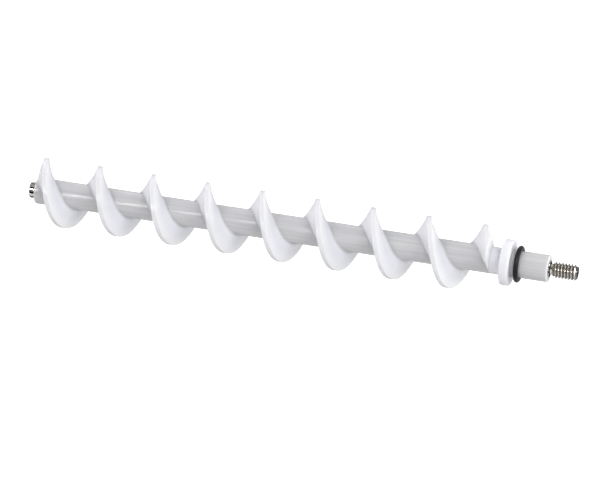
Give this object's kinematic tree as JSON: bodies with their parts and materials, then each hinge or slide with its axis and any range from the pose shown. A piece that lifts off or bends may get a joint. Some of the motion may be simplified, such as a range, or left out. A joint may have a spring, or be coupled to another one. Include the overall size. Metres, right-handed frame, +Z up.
{
  "type": "mortar feed auger",
  "caption": "Slender plastic screw with a thin right-handed flight round a steel core, a thrust collar, a seal ring, a plain journal and a threaded drive stud.",
  "frame": {"origin": "centre of the journal's end face, where the drive's shoulder meets the part", "axes": "+X along the auger's axis out of the threaded stud, towards the drive; the flight runs towards -X; +Z is up, and the flight's last crest before the collar crosses +Z"},
  "size_m": [0.2276, 0.0272, 0.0272],
  "materials": {
    "white_plastic": "natural white injection moulding, satin",
    "bright_steel": "bright drawn steel, machined thread",
    "black_rubber": "black moulded rubber, lightly greased"
  },
  "bodies": {
    "root": {"auger_moulding": "white_plastic", "core_rod": "bright_steel", "o_ring": "black_rubber"}
  },
  "joints": []
}
